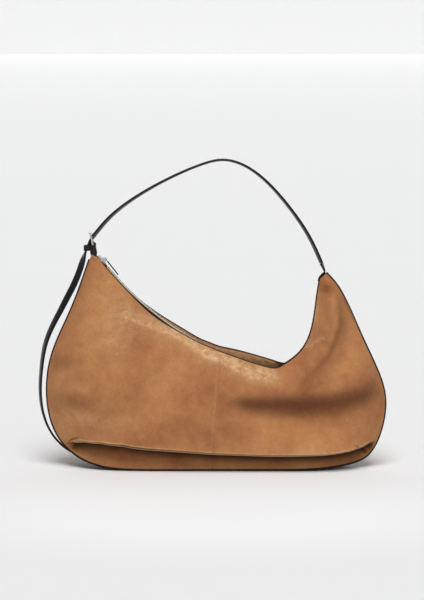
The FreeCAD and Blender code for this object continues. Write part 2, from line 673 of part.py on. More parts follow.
def pocket_pull():
    """Pin through the slider's eye, two arms and the blade that fingers hold."""
    along = Vector(1, 0, 0)
    half_width = POCKET_PULL_WIDTH / 2
    half_thick = POCKET_PULL_THICK / 2
    arm_width, arm_length = POCKET_PULL_ARM
    pin = Part.makeCylinder(POCKET_PIN_R, 4.4, pocket_eye() - along * 2.2, along)
    arm_low = half_thick - arm_length
    arms = [Part.makeBox(arm_width, POCKET_PULL_THICK, arm_length,
                         pocket_eye() + Vector(x, -half_thick, arm_low))
            for x in (-half_width, half_width - arm_width)]
    blade = Part.makeBox(POCKET_PULL_WIDTH, POCKET_PULL_THICK, POCKET_PULL_BLADE,
                         pocket_eye() + Vector(-half_width, -half_thick,
                                               arm_low + half_thick - POCKET_PULL_BLADE))
    save(pin.fuse(arms + [blade]).removeSplitter(), "pocket_zip_pull")
    print("pocket pull pivot", pocket_eye())


body()
edges()
base()
main_zip()
slider()
pull_ring()
pull_leather()
strap()
buckle_frame()
buckle_prong()
buckle_tab()
keeper()
pocket()
pocket_zip()
pocket_slider()
pocket_pull()
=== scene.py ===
import json
import math

import bmesh
import bpy
import numpy as np
from mathutils import Matrix, Vector, noise


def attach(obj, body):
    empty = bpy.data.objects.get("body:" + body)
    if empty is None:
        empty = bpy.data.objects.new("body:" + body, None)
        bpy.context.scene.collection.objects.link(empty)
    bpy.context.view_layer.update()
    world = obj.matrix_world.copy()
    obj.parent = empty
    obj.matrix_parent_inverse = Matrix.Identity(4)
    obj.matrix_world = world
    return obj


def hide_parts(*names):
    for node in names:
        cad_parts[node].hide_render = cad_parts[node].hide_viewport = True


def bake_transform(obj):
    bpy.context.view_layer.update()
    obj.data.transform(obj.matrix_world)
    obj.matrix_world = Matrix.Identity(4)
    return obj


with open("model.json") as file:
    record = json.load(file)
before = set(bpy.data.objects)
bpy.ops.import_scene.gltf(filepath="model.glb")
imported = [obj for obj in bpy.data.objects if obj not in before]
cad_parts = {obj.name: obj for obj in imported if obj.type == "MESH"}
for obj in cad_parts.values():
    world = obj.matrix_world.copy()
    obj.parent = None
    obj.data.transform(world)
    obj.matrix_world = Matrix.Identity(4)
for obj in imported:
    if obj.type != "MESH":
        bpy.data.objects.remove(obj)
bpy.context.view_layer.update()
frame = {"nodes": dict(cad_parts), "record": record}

MM = 0.001

# Sizes of the bag, in millimetres ----------------------------------------------------
SUEDE_THICK = 1.6
STRAP_WIDTH = 12.0
STRAP_THICK = 3.0

# The front panels' two long edges, from the left tip to the right tip, as x, y, z.
# Matching points are joined by one rib of the panel.
MOUTH = [(-175, -8, 313.5), (-150, -9, 284), (-124, -10.5, 256), (-98, -10.5, 231),
         (-74, -10.5, 214), (-52, -10.5, 201), (-36, -10.5, 192), (-22, -10.5, 185),
         (-10, -10.5, 180), (4, -10.5, 174), (24, -10.5, 167), (45, -10.5, 159.5),
         (64, -10, 153.5), (84, -8.5, 149), (101, -4, 155), (122, -2.2, 172),
         (136, -2, 196), (143, -2, 225), (147, -2, 256), (151, -2, 281)]
EDGE = [(-182.5, -8, 316.5), (-196, -2.5, 278), (-215, -2, 230), (-238, -2, 178),
        (-248.8, -2, 126), (-243.9, -2, 72.9), (-220, -4, 31.5), (-168, -22, 7.8),
        (-90, -28, 3.6), (-7, -28, 3.6), (80, -28, 3.6), (151, -26.5, 5.5),
        (203.8, -9, 12.1), (233, -2.5, 35.5), (246.9, -2, 92.8), (235.3, -2, 144),
        (213.6, -2, 191), (194, -2, 235), (176.2, -2, 268.5), (159, -2, 288.5)]
LAST_RIB = len(MOUTH) - 1
SEAM_RIB = 9
HORN_RIB = 14
EDGE_LOW = 3.6
# How much higher the mouth's back edge stands, at ribs 0 to HORN_RIB.
BACK_RISE = [0, -1.5, 0.4, 4.6, 5.4, 5.0, 4.2, 3.8, 4.0, 4.8, 7.5, 9.8, 10.4, 9.0, 0]
FRONT = -1
BACK = 1
FULL_DEPTH = {FRONT: 47.0, BACK: 43.0}
FULL_LENGTH = 198.0
SAG = 1.35

# Base panel: its middle and half length along x, half its depth, and how its rim curls up.
BASE_MIDDLE, BASE_REACH, BASE_HALF = 3.0, 169.0, 23.8
BASE_THICK = 1.4
BASE_CURL = 0.5

# How the front slumps over itself: the lip's place along each rib, from mouth to edge, and
# how far out the lip hangs.  The lip runs out in a short dart at ribs 5.9 and 13.
LIP_AT = [(0, 0.8), (4, 0.82), (5.5, 0.93), (5.85, 0.985), (5.95, 0.94), (6.02, 0.90),
          (6.5, 0.828), (7, 0.792), (8, 0.807), (9, 0.831), (10, 0.842), (11, 0.842),
          (12, 0.853), (12.5, 0.875), (12.97, 0.93), (13.1, 0.985), (13.5, 0.93), (15, 0.85),
          (19, 0.8)]
LIP_OUT = [(6, 30), (6.5, 42), (7, 48.5), (8, 51), (11, 50), (12, 46), (12.5, 40), (13, 30)]
LIP_START = 0.80         # share of a rib's rows above the lip
# Rows under the lip: their share of the way down to the edge, and out to the lip.
TUCK = [(0.80, 0.0, 1.0), (0.82, 0.07, 0.97), (0.84, 0.05, 0.72), (0.87, -0.12, 0.10),
        (0.89, -0.12, -0.32), (0.91, 0.05, -0.42), (0.95, 0.45, -0.18), (1.0, 1.0, 0.0)]


# Colour and shader helpers -----------------------------------------------------------
def linear(hex_colour):
    """Linear RGBA of an sRGB hex colour."""
    values = [int(hex_colour[i:i + 2], 16) / 255 for i in (1, 3, 5)]
    return [v / 12.92 if v <= 0.04045 else ((v + 0.055) / 1.055) ** 2.4
            for v in values] + [1.0]


def new_material(name):
    """Empty node material with its output, as (material, nodes' tree, shader)."""
    material = bpy.data.materials.new(name)
    material.use_nodes = True
    return material, material.node_tree, material.node_tree.nodes["Principled BSDF"]


def add(tree, kind, settings=(), **inputs):
    """One node with its settings, and its inputs as values or as another node's socket."""
    node = tree.nodes.new("ShaderNode" + kind)
    for key, value in dict(settings).items():
        setattr(node, key, value)
    for key, value in inputs.items():
        socket = node.inputs[int(key[1:])] if key[0] == "_" and key[1:].isdigit() \
            else node.inputs[key.replace("_", " ")]
        if isinstance(value, bpy.types.NodeSocket):
            tree.links.new(value, socket)
        else:
            socket.default_value = value
    return node


def ramp(tree, factor, stops):
    """Colour ramp with (position, hex colour) stops."""
    node = add(tree, "ValToRGB", _0=factor)
    elements = node.color_ramp.elements
    while len(elements) < len(stops):
        elements.new(0.5)
    for element, (position, colour) in zip(elements, stops):
        element.position = position
        element.color = linear(colour)
    return node.outputs["Color"]


def set_shader(tree, shader, **values):
    """Fixed values and links of the main shader."""
    for key, value in values.items():
        socket = shader.inputs[key.replace("_", " ")]
        if isinstance(value, bpy.types.NodeSocket):
            tree.links.new(value, socket)
        else:
            socket.default_value = value


# Materials ---------------------------------------------------------------------------
def tan_suede():
    """Buffed calf split: matt nap, rubbed lighter in places, with painted highlights and shade.
    """
    material, tree, shader = new_material("tan_calf_suede")
    place = add(tree, "TexCoord").outputs["Object"]
    patches = add(tree, "TexNoise", _0=place, Scale=11.0, Detail=4.0, Roughness=0.55,
                  Distortion=0.25).outputs[0]
    brushed = add(tree, "TexNoise", _0=place, Scale=55.0, Detail=5.0, Roughness=0.65,
                  Distortion=0.3).outputs[0]
    # The real nap is finer than 0.5 mm.  It is drawn at about 2 mm, so that it shows.
    nap = add(tree, "TexNoise", _0=place, Scale=560.0, Detail=5.0, Roughness=0.75).outputs[0]
    wide = add(tree, "Math", {"operation": "MULTIPLY"}, _0=patches, _1=0.62)
    mixed = add(tree, "Math", {"operation": "MULTIPLY_ADD"}, _0=brushed, _1=0.38,
                _2=wide.outputs[0])
    base = ramp(tree, mixed.outputs[0],
                [(0.32, "#955f3c"), (0.45, "#a87048"), (0.55, "#b27b4f"), (0.68, "#c08b5b")])
    streaks = add(tree, "TexNoise", _0=place, Scale=95.0, Detail=6.0, Roughness=0.72,
                  Distortion=0.9).outputs[0]
    # Painted highlight, partly rubbed nap: lightens lit crests, the raised seam and the shaded
    # mouth facing towards #dcb68a.
    highlight_and_wear = add(tree, "Attribute", {"attribute_name": "highlight_and_wear"}).outputs["Fac"]
    highlight_and_wear_range = add(tree, "MapRange", _0=streaks, _1=0.36, _2=0.66, _3=0.12).outputs[0]
    highlight_and_wear_share = add(tree, "Math", {"operation": "MULTIPLY"}, _0=highlight_and_wear, _1=highlight_and_wear_range)
    lighter = add(tree, "Mix", {"data_type": "RGBA"}, _0=highlight_and_wear_share.outputs[0], _6=base,
                  _7=linear("#dcb68a"))
    # Painted shade: darkens the nap towards #6b3f28 in valleys, folds and under ledges.
    fold_shade = add(tree, "Attribute", {"attribute_name": "fold_shade"}).outputs["Fac"]
    fold_shade_range = add(tree, "MapRange", _0=streaks, _1=0.7, _2=0.3, _3=0.8).outputs[0]
    fold_shade_share = add(tree, "Math", {"operation": "MULTIPLY"}, _0=fold_shade, _1=fold_shade_range)
    darker = add(tree, "Mix", {"data_type": "RGBA"}, _0=fold_shade_share.outputs[0],
                 _6=lighter.outputs[2], _7=linear("#6b3f28"))
    grain = add(tree, "MapRange", _0=nap, _1=0.3, _2=0.7, _3=0.84, _4=1.16).outputs[0]
    # Painted deep shade: dims the nap to 0.14 of its tone under the front's lip and in the
    # darts.
    recess_shade = add(tree, "Attribute", {"attribute_name": "recess_shade"}).outputs["Fac"]
    dim = add(tree, "MapRange", _0=recess_shade, _3=1.0, _4=0.14).outputs[0]
    tone = add(tree, "Math", {"operation": "MULTIPLY"}, _0=grain, _1=dim).outputs[0]
    coloured = add(tree, "VectorMath", {"operation": "SCALE"}, _0=darker.outputs[2])
    tree.links.new(tone, coloured.inputs["Scale"])
    fine = add(tree, "Bump", Strength=0.35, Distance=0.00025, Height=nap).outputs[0]
    coarse = add(tree, "Bump", Strength=0.25, Distance=0.0012, Height=brushed,
                 Normal=fine).outputs[0]
    set_shader(tree, shader, Base_Color=coloured.outputs[0], Roughness=0.92, Normal=coarse,
               Specular_IOR_Level=0.15, Sheen_Weight=0.25, Sheen_Roughness=0.5,
               Sheen_Tint=linear("#e7c39a"))
    return material


def edge_paint():
    """Thick dark paint over raw leather edges: smooth and slightly shiny."""
    material, tree, shader = new_material("dark_edge_paint")
    place = add(tree, "TexCoord").outputs["Object"]
    lumps = add(tree, "TexNoise", _0=place, Scale=500.0, Detail=2.0).outputs[0]
    tone = ramp(tree, lumps, [(0.3, "#0d0907"), (0.7, "#1a1310")])
    bump = add(tree, "Bump", Strength=0.3, Distance=0.0002, Height=lumps).outputs[0]
    set_shader(tree, shader, Base_Color=tone, Roughness=0.45, Normal=bump,
               Specular_IOR_Level=0.25)
    return material


def black_leather():
    """Smooth vegetable-tanned strap leather, dyed black: faint pores and a soft gloss.

    The pores are drawn about 1 mm apart, coarser than real ones, so that they show.
    """
    material, tree, shader = new_material("black_strap_leather")
    place = add(tree, "TexCoord").outputs["Object"]
    pores = add(tree, "TexVoronoi", _0=place, Scale=900.0).outputs["Distance"]
    cloud = add(tree, "TexNoise", _0=place, Scale=70.0, Detail=4.0).outputs[0]
    tone = ramp(tree, cloud, [(0.3, "#0f0d0c"), (0.7, "#1c1817")])
    rough = add(tree, "MapRange", _0=cloud, _1=0.3, _2=0.7, _3=0.34, _4=0.48).outputs[0]
    bump = add(tree, "Bump", Strength=0.25, Distance=0.0002, Height=pores).outputs[0]
    set_shader(tree, shader, Base_Color=tone, Roughness=rough, Normal=bump,
               Specular_IOR_Level=0.3)
    return material


def polished_nickel():
    """Nickel-plated cast zinc: bright, with faint polishing lines."""
    material, tree, shader = new_material("polished_nickel")
    place = add(tree, "TexCoord").outputs["Object"]
    lines = add(tree, "TexNoise", _0=place, Scale=900.0, Detail=2.0).outputs[0]
    rough = add(tree, "MapRange", _0=lines, _1=0.3, _2=0.7, _3=0.16, _4=0.3).outputs[0]
    bump = add(tree, "Bump", Strength=0.08, Distance=0.0001, Height=lines).outputs[0]
    set_shader(tree, shader, Base_Color=linear("#cfcdca"), Metallic=1.0, Roughness=rough,
               Normal=bump)
    return material


def woven(name, light, dark, pitch_mm, roughness=0.9):
    """Plain weave: threads over and under each other, drawn at their own spacing."""
    material, tree, shader = new_material(name)
    place = add(tree, "TexCoord").outputs["Object"]
    scale = math.pi / (pitch_mm * MM) / 10
    warp = add(tree, "TexWave", {"bands_direction": "X"}, _0=place, Scale=scale,
               Distortion=0.6, Detail=1.0).outputs["Fac"]
    weft = add(tree, "TexWave", {"bands_direction": "Z"}, _0=place, Scale=scale,
               Distortion=0.6, Detail=1.0).outputs["Fac"]
    weave = add(tree, "Math", {"operation": "MULTIPLY"}, _0=warp, _1=weft).outputs[0]
    tone = ramp(tree, weave, [(0.0, dark), (0.6, light)])
    bump = add(tree, "Bump", Strength=0.5, Distance=0.0003, Height=weave).outputs[0]
    set_shader(tree, shader, Base_Color=tone, Roughness=roughness, Normal=bump,
               Sheen_Weight=0.1)
    return material


def fibre_board():
    """Pressed fibre board: matt, with short fibres."""
    material, tree, shader = new_material("pressed_fibre_board")
    place = add(tree, "TexCoord").outputs["Object"]
    fibres = add(tree, "TexNoise", _0=place, Scale=300.0, Detail=6.0).outputs[0]
    tone = ramp(tree, fibres, [(0.3, "#5b4a38"), (0.7, "#7d684f")])
    bump = add(tree, "Bump", Strength=0.4, Distance=0.0003, Height=fibres).outputs[0]
    set_shader(tree, shader, Base_Color=tone, Roughness=0.95, Normal=bump)
    return material


SUEDE = tan_suede()
PAINT = edge_paint()
LEATHER = black_leather()
NICKEL = polished_nickel()
LINING = woven("beige_cotton_lining", "#b79a7a", "#8f745a", 0.8)
TAPE = woven("cream_zip_tape", "#d9ccb4", "#b5a68c", 0.7)
BOARD = fibre_board()


# Modelling helpers -------------------------------------------------------------------
def spline(knots, values, at):
    """Natural cubic spline through values (one row per knot), taken at many places."""
    knots = np.asarray(knots, float)
    values = np.asarray(values, float)
    flat = values.ndim == 1
    if flat:
        values = values[:, None]
    count = len(knots)
    gap = np.diff(knots)
    matrix = np.zeros((count, count))
    right = np.zeros_like(values)
    matrix[0, 0] = matrix[-1, -1] = 1
    for i in range(1, count - 1):
        matrix[i, i - 1:i + 2] = gap[i - 1], 2 * (gap[i - 1] + gap[i]), gap[i]
        right[i] = 6 * ((values[i + 1] - values[i]) / gap[i]
                        - (values[i] - values[i - 1]) / gap[i - 1])
    bend = np.linalg.solve(matrix, right)
    at = np.clip(np.asarray(at, float), knots[0], knots[-1])
    k = np.clip(np.searchsorted(knots, at, side="right") - 1, 0, count - 2)
    h = gap[k][:, None]
    a = ((knots[k + 1] - at)[:, None]) / h
    b = 1 - a
    result = (a * values[k] + b * values[k + 1]
              + ((a ** 3 - a) * bend[k] + (b ** 3 - b) * bend[k + 1]) * h ** 2 / 6)
    return result[:, 0] if flat else result


def smoothstep(low, high, value):
    share = np.clip((value - low) / (high - low), 0, 1)
    return share * share * (3 - 2 * share)


def deselect():
    bpy.ops.object.select_all(action="DESELECT")


def activate(piece):
    deselect()
    piece.select_set(True)
    bpy.context.view_layer.objects.active = piece


def grid_piece(name, columns, rows, place):
    """A grid whose points are moved to place(u, t), both from 0 to 1, in millimetres."""
    deselect()
    bpy.ops.mesh.primitive_grid_add(x_subdivisions=columns, y_subdivisions=rows, size=1)
    piece = bpy.context.object
    piece.name = piece.data.name = name
    flat = np.zeros(len(piece.data.vertices) * 3)
    piece.data.vertices.foreach_get("co", flat)
    flat = flat.reshape(-1, 3)
    points = place(flat[:, 0] + 0.5, flat[:, 1] + 0.5) * MM
    piece.data.vertices.foreach_set("co", points.ravel())
    piece.data.update()
    return piece


def edit(piece, *steps):
    """Runs mesh operators on the whole piece in edit mode."""
    activate(piece)
    bpy.ops.object.mode_set(mode="EDIT")
    bpy.ops.mesh.select_all(action="SELECT")
    for step in steps:
        step()
    bpy.ops.object.mode_set(mode="OBJECT")


def outwards():
    bpy.ops.mesh.normals_make_consistent(inside=False)


def merge():
    bpy.ops.mesh.remove_doubles(threshold=0.00002)


def close_ends():
    bpy.ops.mesh.select_all(action="DESELECT")
    bpy.ops.mesh.select_non_manifold(extend=False, use_wire=False, use_boundary=True,
                                     use_multi_face=False, use_non_contiguous=False,
                                     use_verts=False)
    bpy.ops.mesh.fill_holes(sides=0)
    bpy.ops.mesh.select_all(action="SELECT")


def apply(piece, kind, **settings):
    """Adds a modifier with its settings and applies it."""
    activate(piece)
    modifier = piece.modifiers.new(kind.lower(), kind)
    for key, value in settings.items():
        setattr(modifier, key, value)
    bpy.ops.object.modifier_apply(modifier=modifier.name)


def finish_piece(piece, material, body, nodes=(), angle=40):
    """Shading, material, body, slot and the nodes that the piece stands for."""
    activate(piece)
    bpy.ops.object.shade_smooth_by_angle(angle=math.radians(angle))
    piece.data.materials.clear()
    piece.data.materials.append(material)
    if body:
        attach(piece, body)
    if nodes:
        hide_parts(*nodes)
    return piece


def sweep(name, points, profile, across, closed=False):
    """Tube of a closed profile along points.  across gives the profile's first axis."""
    points = np.asarray(points, float)
    ahead = np.gradient(points, axis=0)
    if closed:
        ahead = np.roll(points, -1, axis=0) - np.roll(points, 1, axis=0)
    ahead /= np.linalg.norm(ahead, axis=1)[:, None]
    across = np.asarray(across, float)
    across = across - ahead * np.sum(across * ahead, axis=1)[:, None]
    across /= np.linalg.norm(across, axis=1)[:, None]
    upward = np.cross(ahead, across)
    profile = np.asarray(profile, float)
    if closed:
        points, across, upward = (np.vstack([a, a[:1]]) for a in (points, across, upward))
    ring = np.vstack([profile, profile[:1]])

    def place(u, t):
        i = np.rint(u * (len(points) - 1)).astype(int)
        j = np.rint(t * (len(ring) - 1)).astype(int)
        return points[i] + across[i] * ring[j, :1] + upward[i] * ring[j, 1:]

    piece = grid_piece(name, len(points) - 1, len(ring) - 1, place)
    edit(piece, merge, close_ends if not closed else merge, outwards)
    return piece


def rounded(width, height, radius, steps=4):
    """Outline of a rectangle with round corners, round its middle."""
    outline = []
    for quarter, (sx, sy) in enumerate(((1, 1), (-1, 1), (-1, -1), (1, -1))):
        for i in range(steps + 1):
            turn = math.radians(90 * (quarter + i / steps))
            outline.append((sx * (width / 2 - radius) + radius * math.cos(turn),
                            sy * (height / 2 - radius) + radius * math.sin(turn)))
    return outline


# Soft body ---------------------------------------------------------------------------
def curve_at(points, u):
    return spline(np.arange(len(points)) / (len(points) - 1), np.array(points, float), u)


def near_line(x, z, line):
    """Distance from (x, z) to a line of points, and how far along it the nearest point is."""
    best = np.full(x.shape, 1e9)
    along = np.zeros(x.shape)
    for i, ((x0, z0), (x1, z1)) in enumerate(zip(line, line[1:])):
        dx, dz = x1 - x0, z1 - z0
        share = np.clip(((x - x0) * dx + (z - z0) * dz) / (dx * dx + dz * dz), 0, 1)
        distance = np.hypot(x - x0 - share * dx, z - z0 - share * dz)
        nearer = distance < best
        best = np.where(nearer, distance, best)
        along = np.where(nearer, (i + share) / (len(line) - 1), along)
    return best, along


def fold(x, z, line, width, height):
    """Soft ridge (height over 0) or valley along a line, fading out at both ends."""
    distance, along = near_line(x, z, line)
    fade = np.sin(np.pi * np.clip(along, 0, 1)) ** 0.5
    return height * np.exp(-(distance / width) ** 2) * fade


def soft_line(x, z, line, width, strength):
    """Value that is strongest on the line and fades to both sides."""
    return strength * np.exp(-(near_line(x, z, line)[0] / width) ** 2)


def rumple(points, size, seed):
    """Smooth random field from -1 to 1 that changes over about size millimetres."""
    return np.array([noise.noise(Vector((x / size, y / size + seed, z / size)))
                     for x, y, z in points])


def ledge(x, z, line, width, height):
    """Soft step along a line: out by height on its left side, in by as much on its right."""
    distance, along = near_line(x, z, line)
    line = np.array(line, float)
    place = along * (len(line) - 1)
    k = np.clip(place.astype(int), 0, len(line) - 2)
    ahead = line[k + 1] - line[k]
    off = np.stack([x, z], axis=1) - line[k]
    sign = np.sign(ahead[:, 0] * off[:, 1] - ahead[:, 1] * off[:, 0])
    fade = np.sin(np.pi * np.clip(along, 0, 1)) ** 0.7
    step = sign * distance / width
    return height * step * np.exp(0.5 - 0.5 * step ** 2) * fade


# Folds of the front, as lines of x, z points.
CREASE = [(-132, 226), (-92, 209), (-57, 196), (-18, 169), (6, 163), (45, 141), (78, 136)]
VALLEY = [(2, 104), (38, 101), (73, 99), (122, 98), (170, 103), (208, 111), (240, 122)]
HORN_FOLD = [(176, 262), (178, 247), (180, 228), (179, 211), (172, 190), (162, 168),
             (142, 148), (118, 128)]


def beside(line, right, up):
    """The same line, moved to the right and up."""
    return [(x + right, z + up) for x, z in line]


# Soft ridges and valleys as (line, width, height), and steps as (line, width, height).
FRONT_FOLDS = [(CREASE, 9, 3.0), (beside(CREASE, 4, 12), 7, -2.4),
               ([(96, 132), (140, 140), (190, 150), (226, 158)], 26, 4.0),
               ([(30, 62), (110, 62), (200, 66)], 20, 3.0),
               ([(190, 225), (196, 200), (204, 176)], 13, -2.0),
               ([(150, 272), (160, 268), (170, 268)], 7, -4.0),
               ([(134, 180), (143, 188), (156, 196)], 3.5, 2.4),
               ([(140, 176), (150, 182), (162, 190)], 5, -1.8),
               ([(152, 240), (153, 215), (147, 192)], 9, 2.5),
               ([(-180, 268), (-176, 220), (-172, 170)], 16, 2.2),
               ([(-150, 240), (-142, 180), (-150, 110)], 26, 2.0),
               ([(-120, 76), (-60, 70), (0, 66)], 18, 1.8)]
FRONT_LEDGES = [(VALLEY, 22, 14.0), (HORN_FOLD[::-1], 12, 5.5),
                ([(-242, 160), (-216, 164), (-186, 160)], 14, 2.0),
                ([(-246, 104), (-205, 108), (-168, 102)], 15, 3.0)]
BACK_FOLDS = [([(-190, 90), (-110, 74), (-20, 70), (60, 84)], 16, -5.0),
              ([(40, 118), (110, 108), (190, 120)], 18, -8.0),
              ([(160, 258), (170, 215), (150, 168)], 12, -4.0),
              ([(-150, 250), (-150, 190), (-130, 130)], 20, -3.0),
              ([(-60, 180), (0, 152), (60, 136)], 9, 2.0)]
BACK_LEDGES = [([(20, 92), (110, 96), (215, 104)], 18, 7.0),
               ([(-215, 72), (-110, 62), (0, 66)], 16, 5.0)]
# Short creases that run off the long one: start, and reach to the right and up.
SMALL_CREASES = [((-88, 211), (22, -4)), ((-62, 196), (20, -9)), ((-40, 186), (22, -17)),
                 ((-22, 172), (20, -2)), ((12, 163), (22, -18)), ((44, 146), (24, -7))]
for (x, z), (right, up) in SMALL_CREASES:
    FRONT_FOLDS.append(([(x, z), (x + right / 2, z + up / 2 + 2), (x + right, z + up)], 3, 1))


def relief(side, x, z):
    """Height of the folds at x, z, in millimetres outwards."""
    folds, ledges = {FRONT: (FRONT_FOLDS, FRONT_LEDGES), BACK: (BACK_FOLDS, BACK_LEDGES)}[side]
    return (sum(fold(x, z, *entry) for entry in folds)
            + sum(ledge(x, z, *entry) for entry in ledges))


def edge_out(u):
    """Unit direction out of the bag, square to its outline."""
    ahead = curve_at(EDGE, np.minimum(u + 0.002, 1)) - curve_at(EDGE, np.maximum(u - 0.002, 0))
    out = np.stack([ahead[:, 2], np.zeros(len(u)), -ahead[:, 0]], axis=1)
    out /= np.linalg.norm(out, axis=1)[:, None]
    away = np.sum(out * (curve_at(EDGE, u) - np.array([0, 0, 150])), axis=1)
    return out * np.where(away > 0, 1, -1)[:, None]


def table(pairs, at):
    """Value between the (place, value) pairs of a table."""
    places, values = zip(*pairs)
    return np.interp(at, places, values)


def body_points(side, u, t):
    """Outside of the bag: u runs from tip to tip and t from the mouth to the edge."""
    top = curve_at(MOUTH, u)
    low = curve_at(EDGE, u) + edge_out(u) * 0.9
    low[:, 2] = np.maximum(low[:, 2], EDGE_LOW - 0.9)
    top_y, low_y = np.abs(top[:, 1]), np.abs(low[:, 1])
    number = u * LAST_RIB
    length = np.hypot(top[:, 0] - low[:, 0], top[:, 2] - low[:, 2])
    rest = top_y * 0.4 + low_y * 0.6
    depth = np.maximum(FULL_DEPTH[side] * (length / FULL_LENGTH) ** 0.75 - rest, 1)

    def bulge(share):
        return (top_y * (1 - share) + low_y * share
                + depth * np.sin(np.pi * np.clip(share, 0, 1) ** SAG))

    share = t.copy()
    out = bulge(share)
    tucked = np.zeros(len(t))
    if side == FRONT:
        lip = table(LIP_AT, number)
        slumped = smoothstep(5.4, 7.8, number) * (1 - smoothstep(11.4, 13.6, number))
        tucked = smoothstep(5.85, 6.05, number) * (1 - smoothstep(12.95, 13.1, number))
        is_above = t < LIP_START
        above = np.clip(t / LIP_START, 0, 1)
        lip_out = top_y + (table(LIP_OUT, number) - top_y) * above ** 0.62
        out_above = bulge(lip * above) * (1 - slumped) + lip_out * slumped
        below = spline(np.array(TUCK)[:, 0], np.array(TUCK)[:, 1:], t)
        plain_share = lip + (1 - lip) * np.clip((t - LIP_START) / (1 - LIP_START), 0, 1)
        tuck_share = lip + (1 - lip) * below[:, 0]
        at_lip = bulge(lip) * (1 - slumped) + table(LIP_OUT, number) * slumped
        plain_out = low_y + (bulge(plain_share) - low_y) * at_lip / bulge(lip)
        tuck_out = low_y + (at_lip - low_y) * below[:, 1]
        under = plain_share * (1 - tucked) + tuck_share * tucked
        share = np.where(is_above, lip * above, under)
        out = np.where(is_above, out_above, plain_out * (1 - tucked) + tuck_out * tucked)
    point = top * (1 - share[:, None]) + low * share[:, None]
    x, z = point[:, 0].copy(), point[:, 2].copy()
    if side == BACK:
        rise = np.where(number < HORN_RIB, spline(np.arange(HORN_RIB + 1), BACK_RISE, number), 0)
        point[:, 2] += rise * (1 - t)
    hold = smoothstep(0, 0.10, t) * (1 - smoothstep(0.93, 1.0, t))
    hold *= smoothstep(0.0, 0.05, u) * (1 - smoothstep(0.95, 1.0, u))
    hold *= 1 - smoothstep(LIP_START, LIP_START + 0.02, t) * tucked
    point[:, 1] = side * (out + relief(side, x, z) * hold)
    loose = rumple(point, 55, 3.0 + side) * 1.6 + rumple(point, 21, 9.0 + side) * 0.5
    if side == FRONT:
        crumpled = soft_line(x, z, beside(CREASE, 0, 7), 16, 1)
        loose += rumple(point, 11, 5.0) * 1.3 * crumpled
    point[:, 1] += side * loose * hold
    return point


def seam_dip(point, u, side):
    """Pulls the two halves in along their centre seam."""
    near = np.abs(u * LAST_RIB - SEAM_RIB)
    point[:, 1] -= side * 0.5 * np.exp(-(near / 0.03) ** 2)
    return point


# Painted highlights and painted shade on the nap: lines as (line, width, strength), spots as
# (place, size, strength).
HIGHLIGHT_LINES = [(beside(CREASE, 2, 5), 16, 0.3), (CREASE, 2.5, 0.35),
               ([(134, 180), (154, 194)], 4, 0.4), ([(-150, 250), (-146, 190)], 22, 0.25),
               ([(2, 172), (-7, 36)], 1.3, 0.2)]
HIGHLIGHT_SPOTS = {FRONT: [((-178, 76), (46, 12), 0.3), ((142, 225), (8, 30), 0.35)],
               BACK: [((-60, 150), (90, 22), 0.35), ((150, 200), (20, 50), 0.3)]}
SHADE_SPOTS = {FRONT: [((160, 266), (9, 7), 0.7), ((-226, 160), (22, 12), 0.35),
                      ((-208, 104), (40, 13), 0.4), ((-40, 62), (60, 18), 0.2),
                      ((30, 56), (40, 20), 0.2)],
              BACK: [((110, 96), (90, 12), 0.6), ((-110, 66), (90, 12), 0.5),
                     ((-150, 190), (14, 60), 0.3)]}
DARTS = [[(-220, 37), (-214, 45), (-204, 49)], [(204, 38), (212, 30), (220, 22)]]


def spot(x, z, place, size, strength):
    """Soft patch round a place."""
    return strength * np.exp(-((x - place[0]) / size[0]) ** 2 - ((z - place[1]) / size[1]) ** 2)


def mark(piece, name, values):
    attribute = piece.data.attributes.new(name, "FLOAT", "POINT")
    attribute.data.foreach_set("value", np.clip(values, 0, 1).astype(np.float32))


def under_lip(x, z):
    """Depth below the front's lip, and a factor that fades out at the lip's two ends."""
    number = np.linspace(5.9, 13.1, 200)
    lip = body_points(FRONT, number / LAST_RIB, np.full(200, LIP_START))
    left, right = lip[0, 0], lip[-1, 0]
    ends = smoothstep(left, left + 8, x) * smoothstep(right, right - 8, x)
    return np.interp(x, lip[:, 0], lip[:, 2]) - z, ends


